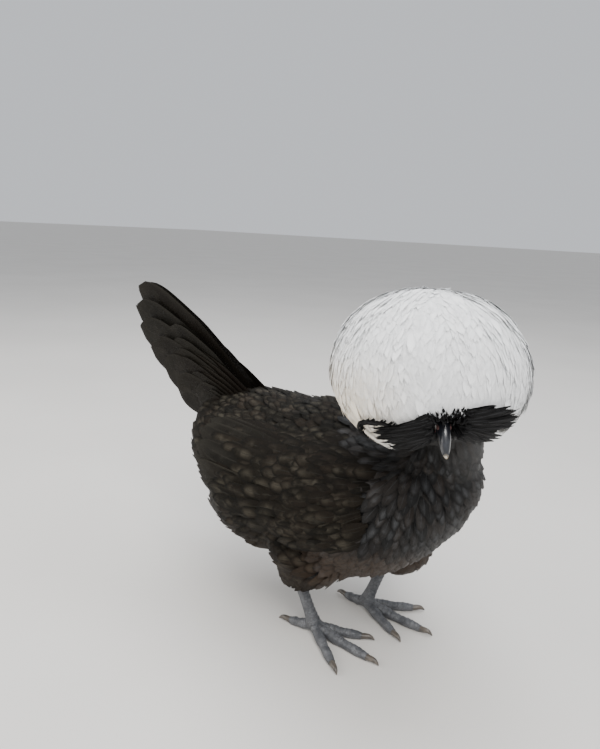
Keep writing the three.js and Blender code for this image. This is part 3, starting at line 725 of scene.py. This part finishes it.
def wing_vane(coat, draw, side, start, end, width, lift, edge, rows, roll=-0.1, columns=7, arch=1.2):
    depth, tuck_from, tuck_to = WING_TUCK[side]
    centres, outs = [], []
    for t in shares(rows):
        x, degrees = mix(start[0], end[0], t), mix(start[1], end[1], t)
        tucked = depth * smooth(tuck_from, tuck_to, degrees)
        height = mix(lift[0], lift[1], t ** 0.7) + arch * sin(pi * t) - tucked
        place, normal = torso_at(x, degrees, side, height)
        centres.append(place)
        outs.append(normal)
    grid = plate(draw, centres, outs, width, side * roll, 0.1, 0.66, 0.9, columns, 0.4)
    coat.add(grid, tint=draw(0, 1), edge=edge * draw(0.6, 1.3), warm=0.15 * draw(0, 1))


def primaries(coat, draw, side):
    for share in shares(5):
        end = (mix(-100, -110, share), mix(-7, 5, share))
        wing_vane(coat, draw, side, (0, mix(0, 8, share)), end, 12, (1.6, 2.2), 0.7, 18)


def secondaries(coat, draw, side):
    for i, share in enumerate(shares(12)):
        end = (along(SECONDARY_REACH, share) + draw(-5, 5), mix(-8, 40, share) + draw(-1.5, 1.5))
        wing_vane(coat, draw, side, (mix(24, -6, share), mix(0, 38, share)), end, draw(15, 19),
                  (3.0, 4.4 + 0.1 * i + draw(-0.5, 0.9)), 0.8, 16, draw(-0.16, -0.04))


def large_coverts(coat, draw, side):
    for row, i in product(range(5), range(14)):
        share = (i + 0.5 * (row % 2)) / 13.5
        degrees = mix(-8, 46, share) + draw(-2, 2)
        x = mix(-42, 6, row / 4) - 8 * share + draw(-6, 6)
        length = mix(36, 26, row / 4) * draw(0.85, 1.15)
        end = (x - length, degrees * 1.03 - draw(0, 6))
        wing_vane(coat, draw, side, (x, degrees), end, draw(10, 13.5),
                  (4.0, mix(6.0, 6.8, row / 4) + draw(-0.8, 0.8)), 0.8, 9, draw(-0.24, 0.1), 5, 0.6)


def small_coverts(coat, draw, side):
    for row, i in product(range(13), range(16)):
        x = mix(8, 52, row / 12) - 8 * i / 15 + draw(-3.5, 3.5)
        degrees = mix(-12, 50, (i + 0.5 * (row % 2)) / 15.5) + draw(-2.4, 2.4)
        front = smooth(20, 52, x)
        length = mix(22, 17, front) * draw(0.8, 1.2)
        end = (x - length, degrees * 1.03 - draw(0, 6))
        lift = (mix(3.6, -1.0, front), mix(6.8, 3.0, front) + draw(-0.8, 0.8))
        wing_vane(coat, draw, side, (x, degrees), end, draw(7.5, 10.5), lift, 0.5, 7,
                  draw(-0.24, 0.12), 5, 0.5)


def shoulder_feathers(coat, draw, side):
    for down, over in product(shares(24), shares(6)):
        x = mix(52, -88, down) + draw(-4, 4)
        degrees = mix(58, 36, over) + draw(-2.5, 2.5)
        end = (x - draw(17, 26), degrees - draw(0, 7))
        wing_vane(coat, draw, side, (x, degrees), end, draw(8, 11.5), (-3.0, mix(1.5, 5.0, over)), 0.5, 7,
                  draw(-0.18, 0.1), 5, 0.4)


def wings():
    for side, word in SIDES:
        flight, coverts = Coat(body_unwrap, skin_normal, 0.35), Coat(body_unwrap, skin_normal, 0.55)
        draw = np.random.default_rng(31 + side).uniform
        primaries(flight, draw, side)
        secondaries(flight, draw, side)
        large_coverts(coverts, draw, side)
        small_coverts(coverts, draw, side)
        shoulder_feathers(coverts, draw, side)
        coverts.build(f"wing_coverts_{word}", black_vane, "body_plumage")
        flight.build(f"wing_feathers_{word}", flight_vane, "flight_plumage", [f"wing_{word}"])


# ---- Tail: two leaning halves of upright vanes, with shorter ones over their roots ----
TAIL_TILT = 12
# Count, share of the quills' length, how uneven, drop, root's place back and up, across, width, sag, grid.
TAIL_COVERTS = [
    (7, (0.66, 0.56), 0.04, 4, -6, (2, -26), (10, 19), 31, 3, 14, 7),
    (9, (0.44, 0.34), 0.05, 3, -16, (4, -28), (11, 23), 21, 2, 11, 5),
]


def tail_vane(coat, draw, side, root, tip, across, width, sag=4, lift=0.0, rows=20, columns=9):
    """A vane from a root to a tip, both given as far back and up from the tail's root."""
    start = Vector((-root[0], across, root[1]))
    end = Vector((-tip[0], across + lift, tip[1]))
    middle = start.lerp(end, 0.5) + Vector((0, lift * 0.6, sag))
    curve = through(start, middle, end)
    centres = []
    for t in shares(rows):
        place = bezier(curve, t)
        centres.append(turned(Vector((place.x, side * place.y, place.z)), TAIL_TURN, "Z") + TAIL_ROOT)
    outs = [turned(Vector((0, side, 0)), TAIL_TURN, "Z")] * rows
    grid = plate(draw, centres, outs, width, radians(TAIL_TILT), 0.06, 0.72, 2.0, columns, 0.5)
    coat.add(grid, tint=draw(0, 1), edge=0.5 * draw(0.5, 1.2), warm=0.2 * draw(0, 1))


def tail():
    for side, word in SIDES:
        coat, draw = Coat(), np.random.default_rng(51 + side).uniform
        for i, share in enumerate(shares(6)):
            tip = (along(TAIL_OUT, share), along(TAIL_UP, share))
            tail_vane(coat, draw, side, (0, mix(8, -22, share)), tip, 4.0 + 2.4 * i, 39)
        for count, length, uneven, drop, back, root, across, width, sag, rows, columns in TAIL_COVERTS:
            for share in shares(count):
                shrink = mix(*length, share) + draw(-uneven, uneven)
                tip = (along(TAIL_OUT, share) * shrink, along(TAIL_UP, share) * shrink - drop)
                start = (back, mix(*root, share))
                tail_vane(coat, draw, side, start, tip, mix(*across, share), width, sag, 1.0, rows, columns)
        coat.build(f"tail_feathers_{word}", flight_vane, "flight_plumage", [f"tail_{word}"])


# ---- Crest ----
WHORL = (34, 180)
CREST_VANES, CREST_ROWS = 6600, 6
CREST_COVER = 0.985
VANE_DEPTH, DOWN_SHARE = 0.05, 0.968
STAIN_AND_WARM_LIGHT_SIDE = Vector((-0.82, -0.57, 0))
FACE_GAP, DOWN_GAP = {"left": 42, "right": 25}, {"left": 44, "right": 26}
# Each lump: its polar angle and azimuth, how much fuller it is, and how wide in degrees.
CREST_LUMPS = [
    ((46, -92), 0.055, 30), ((42, 74), 0.030, 20), ((76, 104), 0.022, 16), ((104, -98), 0.035, 18),
    ((8, 0), -0.012, 16)]


def hides_face(point):
    place = to_head @ point
    reach = FACE_GAP["left" if place.y > 0 else "right"]
    return place.x > -18 and place.z < mix(12, 1, smooth(8, 24, abs(place.y))) and abs(place.y) < reach


def crest_lump(polar, azimuth):
    """How much fuller than its ellipsoid the crest is at a place, as a share."""
    here = crest_way(polar, azimuth)
    lobes = sin(radians(6.5 * azimuth + 25 * sin(radians(3 * polar)) + 20)) ** 2
    fuller = 0.018 * (lobes - 0.5) * smooth(12, 50, polar)
    fuller += 0.010 * sin(radians(5 * azimuth + 40)) * sin(radians(4 * polar))
    for lump, size, reach in CREST_LUMPS:
        apart = math.degrees(here.angle(crest_way(*lump)))
        fuller += size * math.exp(-(apart / reach) ** 2)
    return fuller


def crest_stain_and_warm_light(tip):
    """How creamy the crest is, partly stain and partly painted warm light: low on the side of the bird's
    right wing, and a little under it.
    """
    aside = (tip - CREST_CENTRE).dot(STAIN_AND_WARM_LIGHT_SIDE)
    return smooth(262, 212, tip.z) * smooth(8, 50, aside) * 0.95 + smooth(235, 195, tip.z) * 0.2


def crest_feathers():
    """Vanes that lie away from a whorl on the back of the crest, spread evenly by the golden angle."""
    coat, draw = Coat(crest_unwrap), np.random.default_rng(71).uniform
    whorl = crest_way(*WHORL)
    golden = pi * (3 - sqrt(5))
    for i in range(CREST_VANES):
        down = 1 - 2 * (i + 0.5) / CREST_VANES * CREST_COVER
        polar = math.degrees(math.acos(down)) + draw(-2.5, 2.5)
        azimuth = math.degrees(golden * i) + draw(-3, 3)
        while hides_face(crest_at(polar, azimuth, 1)):
            polar -= 3
        length = draw(16, 27)
        share = draw(0.99, 1.005) + crest_lump(polar, azimuth)
        stray = draw(0.01, 0.03) if draw(0, 1) < 0.03 else 0
        end = crest_way(polar, azimuth)
        axle = end.cross(whorl).normalized()
        axle.rotate(Matrix.Rotation(radians(draw(-12, 12)), 3, end))
        centres = []
        for t in shares(CREST_ROWS):
            way = Matrix.Rotation(radians(length * (1 - t)), 3, axle) @ end
            centres.append(crest_towards(way, mix(share, share - VANE_DEPTH, (1 - t) ** 2) + stray * t ** 3))
        outs = [(place - CREST_CENTRE).normalized() for place in centres]
        grid = plate(draw, centres, outs, draw(4.8, 7.8), draw(-0.1, 0.1), 0.08, 0.45, 2.4, 4, 0.4)
        coat.add(grid, tint=draw(0, 1), edge=0.4, warm=crest_stain_and_warm_light(centres[-1]))
    coat.build("crest_feathers", white_vane, "crest_plumage", ["crest"])
    crest_down(draw)


def crest_down(draw):
    """A soft white form under the vanes, drawn in behind the face."""
    rings, sides = 56, 132
    points = []
    for i, k in product(range(rings + 1), range(sides)):
        polar, azimuth = 179.9 * i / rings + 0.05, 360 * k / sides
        place = crest_at(polar, azimuth, DOWN_SHARE + crest_lump(polar, azimuth) + 0.004 * draw(-1, 1))
        seen = to_head @ place
        reach = DOWN_GAP["left" if seen.y > 0 else "right"]
        near_face = smooth(-26, -8, seen.x) * smooth(14, 6, seen.z) * smooth(reach + 8, reach, abs(seen.y))
        points.append(place.lerp(CREST_CENTRE, 0.6 * near_face))
    solid_piece("crest_down", points, ring_faces(rings, sides), down_white)


# ---- Tufts, in the head's frame ----
TUFT_TIPS = {
    1: [(14, 22, 14), (8, 34, 9), (8, 33, 1), (10, 26, -6), (12, 18, -8)],
    -1: [(10, -22, 2), (7, -27, -3), (5, -31, -8), (8, -25, -12), (12, -15, -11)],
}
TUFT_LOOP = [
    (12, -14, -3), (8, -25, 1), (5, -35, -1), (3, -41, -6), (3, -41, -13), (5, -35, -17), (7, -27, -16)]
TUFT_STRANDS, LOOP_STRANDS, STRAND_POINTS = 170, 16, 10


def over_crest(point, share):
    """The point, moved out from the crest's centre until it is at least this share of the way out."""
    now = crest_share(point)
    return point if now >= share else CREST_CENTRE + (point - CREST_CENTRE) * (share / now)


def tuft_strands(draw, side):
    """The tuft's strands, as a line of points and a width each. The right one has a loop as well."""
    strands, steps = [], shares(STRAND_POINTS)
    for share in shares(TUFT_STRANDS):
        root = Vector((12.5, side * draw(2.5, 7), mix(12, 1, share) + draw(-1.5, 1.5)))
        tip = spline(TUFT_TIPS[side], share) + Vector(draw(-2.5, 2.5, 3))
        tip = root.lerp(tip, draw(0.45, 1.12))
        middle = root.lerp(tip, 0.5) + Vector((draw(1.5, 5.5), 0, 1.5))
        curve = through(root, middle, tip)
        strands.append(([bezier(curve, t) for t in steps], draw(1.6, 3.8)))
    for _ in range(LOOP_STRANDS if side < 0 else 0):
        low = draw(0, 0.6)
        high = low + draw(0.25, 0.4)
        off = Vector(draw(-0.9, 0.9, 3))
        strands.append(([spline(TUFT_LOOP, mix(low, high, t)) + off for t in steps], draw(1.4, 2.4)))
    return strands


def tufts():
    for side, word in SIDES:
        coat, draw = Coat(crest_unwrap), np.random.default_rng(91 + side).uniform
        for strand, width in tuft_strands(draw, side):
            above = 1.045 + draw(0, 0.035)
            centres = []
            for t, point in zip(shares(STRAND_POINTS), strand):
                centres.append(over_crest(head_frame @ point, mix(0.4, above, smooth(0, 0.35, t))))
            outs = [(place - CREST_CENTRE).normalized() for place in centres]
            grid = plate(draw, centres, outs, width, draw(-0.35, 0.35), 0.15, 0.3, 2.0, root=0.3)
            coat.add(grid, tint=draw(0, 1), edge=0.2, warm=0)
        coat.build(f"tuft_feathers_{word}", face_vane, "face_plumage", [f"tuft_{word}"])


# ---- Face: short feathers round the beak, longest over the brow, none on the beak or the eyes ----
FACE_TRIES = 620


def face_feathers():
    coat, draw = Coat(crest_unwrap), np.random.default_rng(95).uniform
    eyes = [Vector((EYE_PLACE[0], side * EYE_PLACE[1] * 1.4, EYE_PLACE[2])) for side, _ in SIDES]
    for _ in range(FACE_TRIES):
        angle, ring = draw(0, tau), sqrt(draw(0.1, 1.0))
        y, z = 15 * ring * cos(angle), 14 * ring * sin(angle) - 1
        x = 17 * sqrt(max(0.02, 1 - (y / 16) ** 2 - (z / 16.5) ** 2))
        root = Vector((x, y, z))
        if min((root - eye).length for eye in eyes) < 6 or (abs(y) < 4.5 and -6 < z < 7):
            continue
        brow = smooth(0.3, 0.85, sin(angle))
        length = mix(12, 10, brow) * draw(0.7, 1.25)
        way = Vector((mix(-0.55, 0.85, brow), cos(angle) * 1.5, sin(angle) * mix(0.9, 0.62, brow)))
        tip = root + way.normalized() * length
        middle = root.lerp(tip, 0.5) + Vector((draw(1.4, 3.0) + 2.5 * brow, 0, 0))
        curve = through(root - Vector((1.5, 0, 0)), middle, tip)
        centres = [head_frame @ bezier(curve, t) for t in shares(7)]
        outs = [head_frame.to_3x3() @ Vector((1, 0, 0.3))] * 7
        width = draw(2.0, 3.8) * mix(1, 0.5, brow)
        grid = plate(draw, centres, outs, width, draw(-0.3, 0.3), 0.1, 0.3, 1.0, 3, 0.4)
        coat.add(grid, tint=draw(0, 1), edge=0.1, warm=0)
    coat.build("face_feathers", face_vane, "face_plumage")


# ---- Head: beak, eyes, lids, wattles, in the head's frame ----
BEAK = dict(base=8, reach=33, drop=11, half_width=4.4, height=6.7)
LOWER_BEAK = dict(base=7, reach=28.5, drop=8.5, half_width=4.0, height=6.3)
MOUTH_BACK, MOUTH_HEIGHT, MOUTH_SLOPE, MOUTH_GAP = 4, -1, 14, 0.16


def bill(name, half, node, base, reach, drop, half_width, height):
    """Half of the beak, above the mouth's line where half is 1 and below it where half is -1."""
    rings, sides = 30, 28
    points, tint = [], []
    for i in range(rings + 1):
        t = (1 - cos(pi * i / rings)) / 2
        bulk = max(0.0, 1 - t ** 2.2) ** 0.55 * min(1, sqrt(t * 8))
        x = mix(base, reach, t)
        mouth = MOUTH_HEIGHT - (x - MOUTH_BACK) * math.tan(radians(MOUTH_SLOPE)) + MOUTH_GAP * half
        for k in range(sides):
            angle = tau * k / sides
            z = height * bulk * sin(angle) * (1 if sin(angle) > 0 else 0.8) - drop * t * t
            z = max(z, mouth) if half > 0 else min(z, mouth)
            points.append(on_head(x, half_width * bulk * cos(angle), z))
            tint.append(t)
    solid_piece(name, points, ring_faces(rings, sides, flipped=True), beak_horn, [node], tint)


def ball(name, centre, radius, material, nodes=(), stretch=(1, 1, 1), facing=(1, 0, 0)):
    """A rounded form. Its tint is how far each place is from the pole that it faces with."""
    rings, sides = 20, 28
    turn = Vector(facing).normalized().to_track_quat("Z", "Y").to_matrix()
    points, tint = [], []
    for i, k in product(range(rings + 1), range(sides)):
        unit = turn @ sphere(pi * i / rings, tau * k / sides)
        points.append(on_head(*(Vector(centre) + Vector(radius * s * u for s, u in zip(stretch, unit)))))
        tint.append(i / rings * 2)
    solid_piece(name, points, ring_faces(rings, sides), material, nodes, tint)


def lid(name, side):
    rings, sides, thickness, opening = 40, 12, 1.15, 5.0
    centre = Vector((EYE_PLACE[0], side * (EYE_PLACE[1] + 2.9), EYE_PLACE[2]))
    points, faces = [], []
    for i in range(rings):
        angle = tau * i / rings
        out = Vector((cos(angle) * 1.12, 0, sin(angle) * 0.94))
        for k in range(sides):
            turn = tau * k / sides
            skin_radius = thickness * (1 + 0.12 * sin(7 * angle + 2 * turn))
            rim = out * (opening + skin_radius * cos(turn))
            points.append(on_head(*(centre + rim + Vector((0, skin_radius * sin(turn), 0)))))
    for i, k in product(range(rings), range(sides)):
        here, ahead, up = i * sides, (i + 1) % rings * sides, (k + 1) % sides
        faces.append([here + k, here + up, ahead + up, ahead + k])
    solid_piece(name, points, faces, lid_skin)


def head_parts():
    bill("upper_beak", 1, "beak_upper", **BEAK)
    bill("lower_beak", -1, "beak_lower", **LOWER_BEAK)
    for side, word in SIDES:
        eye = (EYE_PLACE[0], side * EYE_PLACE[1], EYE_PLACE[2])
        ball(f"eyeball_{word}", eye, EYE_RADIUS, eye_gloss, [f"eye_{word}"],
             facing=(0.25, side, 0))
        lid(f"eyelid_{word}", side)
        ball(f"nostril_{word}", (16.5, side * 2.3, 0.6), 2.5, knob_skin,
             stretch=(1.35, 0.8, 0.8))
        ball(f"wattle_skin_{word}", (9, side * 3.4, -13), 1.0, wattle_skin, [f"wattle_{word}"],
             stretch=(3.2, 1.6, 4.6))


# ---- Legs ----
SCUTE_STEP = 0.13
SHANK_RADII = [SHANK_RADIUS * s for s in (1.4, 1.15, 0.98, 0.98, 1.05, 1.35)]
TOE_RADII = [TOE_WIDTH * s for s in (0.56, 0.47, 0.5, 0.41, 0.44, 0.33)]
CLAW_RADII = [2.5, 2.2, 1.5, 0.35]


def leg_point(place, side, which, up=0):
    ahead = LEFT_AHEAD[which] if side > 0 else 0
    return Vector((place[0] + ahead, side * place[1], place[2] + up))


def limb(path, radii, front, scutes, rings, sides=20):
    """A limb along a path, flat where it meets the floor. Scutes overlap on the side named front."""
    points, tint = [], []
    for i in range(rings + 1):
        t = i / rings
        centre = spline(path, t)
        ahead = (spline(path, min(1, t + 0.02)) - spline(path, max(0, t - 0.02))).normalized()
        spine = (front - ahead * front.dot(ahead)).normalized()
        side = spine.cross(ahead)
        saw = (t * scutes) % 1
        radius = along(radii, t)
        for k in range(sides):
            angle = tau * k / sides
            facing = sin(angle)
            scute_share = smooth(0.05, 0.5, facing)
            out = radius * (1 + (SCUTE_STEP * (1 - saw) * scute_share if scutes else 0))
            place = centre + side * (out * cos(angle)) + spine * (out * facing)
            place.z = max(place.z, 0)
            points.append(place)
            tint.append(min(saw, 1 - saw) * 4 if scute_share > 0.3 else 1.0)
    faces = ring_faces(rings, sides, flipped=True)
    base = len(points)
    points += [spline(path, 0), spline(path, 1)]
    tint += [1.0, 1.0]
    for k in range(sides):
        faces.append([base, (k + 1) % sides, k])
        faces.append([base + 1, rings * sides + k, rings * sides + (k + 1) % sides])
    return points, tint, faces


def joined(name, parts, material, nodes):
    points, tint, faces = [], [], []
    for part_points, part_tint, part_faces in parts:
        faces += [[len(points) + i for i in face] for face in part_faces]
        points += part_points
        tint += part_tint
    solid_piece(name, points, faces, material, nodes, tint)


def legs():
    for side, word in SIDES:
        hock, foot = leg_point(HOCK, side, "hock", 6), leg_point(FOOT, side, "foot", 2)
        shank = limb([hock, hock.lerp(foot, 0.5), foot], SHANK_RADII, Vector((1, 0, 0.2)), 13, 104)
        joined(f"shank_scales_{word}", [shank], leg_scale, [f"shank_{word}"])
        toes, claws = [], []
        centre = leg_point(FOOT, side, "foot")
        for length, turn, scutes in TOES.values():
            angle = radians(side * turn)
            ahead = Vector((cos(angle), sin(angle), 0))
            end = centre + ahead * length
            end.z = TOE_WIDTH * 0.36
            knuckle = centre.lerp(end, 0.5)
            knuckle.z = TOE_WIDTH * 0.5
            toes.append(limb([centre + UP, knuckle, end], TOE_RADII, UP, scutes, scutes * 8))
            root = end - ahead
            bend = end + ahead * CLAW_LENGTH * 0.6
            bend.z = end.z + 0.6
            tip = end + ahead * CLAW_LENGTH
            tip.z = 1.2
            claws.append(limb([root, bend, tip], CLAW_RADII, UP, 0, 24, 14))
        joined(f"toes_{word}", toes, leg_scale, [f"foot_{word}"])
        joined(f"claws_{word}", claws, claw_horn, [f"claw_{word}_{toe}" for toe in TOES])


body_feathers()
wings()
tail()
crest_feathers()
tufts()
face_feathers()
head_parts()
legs()


# ---- Floor, light and camera: lights in metres and watts, the camera in the bird frame ----
FLOOR_REACH = 30.0
SKY_COLOUR, SKY_STRENGTH = (0.92, 0.95, 1.0), 0.75
LIGHTS_FACE = Vector((0, 0, 0.15))
LIGHTS = [
    ("key", (0.9, -0.9, 1.5), 1.0, 36, (1.0, 0.98, 0.95)),
    ("top", (-0.1, 0.3, 1.8), 1.4, 30, (0.95, 0.97, 1.0)),
    ("fill", (-1.0, -0.9, 0.7), 1.2, 12, (1.0, 0.96, 0.9)),
]
CAMERA_PLACE = Vector((222.6, -399.0, 325))
CAMERA_YAW, CAMERA_PITCH, CAMERA_ROLL = 35, 13.5, 3.0
IMAGE_WIDTH, IMAGE_HEIGHT, FOCAL_PIXELS = 600, 749, 600


def studio():
    r = FLOOR_REACH
    floor = linked("floor", [(-r, -r, 0), (r, -r, 0), (r, r, 0), (-r, r, 0)], [[0, 1, 2, 3]])
    floor.data.materials.append(plain_material("floor", (0.62, 0.60, 0.57), (0.66, 0.64, 0.61), 3, 0.7, 0.0))
    world = bpy.data.worlds.new("studio")
    bpy.context.scene.world = world
    world.use_nodes = True
    sky = world.node_tree.nodes["Background"].inputs
    sky[0].default_value, sky[1].default_value = (*SKY_COLOUR, 1), SKY_STRENGTH
    for name, place, size, power, colour in LIGHTS:
        data = bpy.data.lights.new(name, "AREA")
        data.size, data.energy, data.color = size, power, colour
        light = bpy.data.objects.new(name, data)
        light.location = Vector(place)
        light.rotation_mode = "QUATERNION"
        light.rotation_quaternion = (LIGHTS_FACE - light.location).to_track_quat("-Z", "Y")
        bpy.context.scene.collection.objects.link(light)


def photo_camera():
    """The photo's view: looking down by the pitch, and rolled about the line of sight."""
    yaw, pitch, roll = (radians(a) for a in (CAMERA_YAW, CAMERA_PITCH, CAMERA_ROLL))
    level = Vector((-sin(yaw), cos(yaw), 0))
    view = level * cos(pitch) - UP * sin(pitch)
    right = Vector((cos(yaw), sin(yaw), 0))
    up = right.cross(view)
    x_axis = right * cos(roll) + up * sin(roll)
    y_axis = up * cos(roll) - right * sin(roll)
    data = bpy.data.cameras.new("photo_view")
    data.sensor_width = 36.0
    data.lens = FOCAL_PIXELS / max(IMAGE_WIDTH, IMAGE_HEIGHT) * data.sensor_width
    camera = bpy.data.objects.new("photo_view", data)
    turn = Matrix((x_axis, y_axis, -view)).transposed()
    camera.matrix_world = Matrix.Translation((CAMERA_PLACE + SHIFT) * MM) @ turn.to_4x4()
    bpy.context.scene.collection.objects.link(camera)
    bpy.context.scene.camera = camera


studio()
photo_camera()
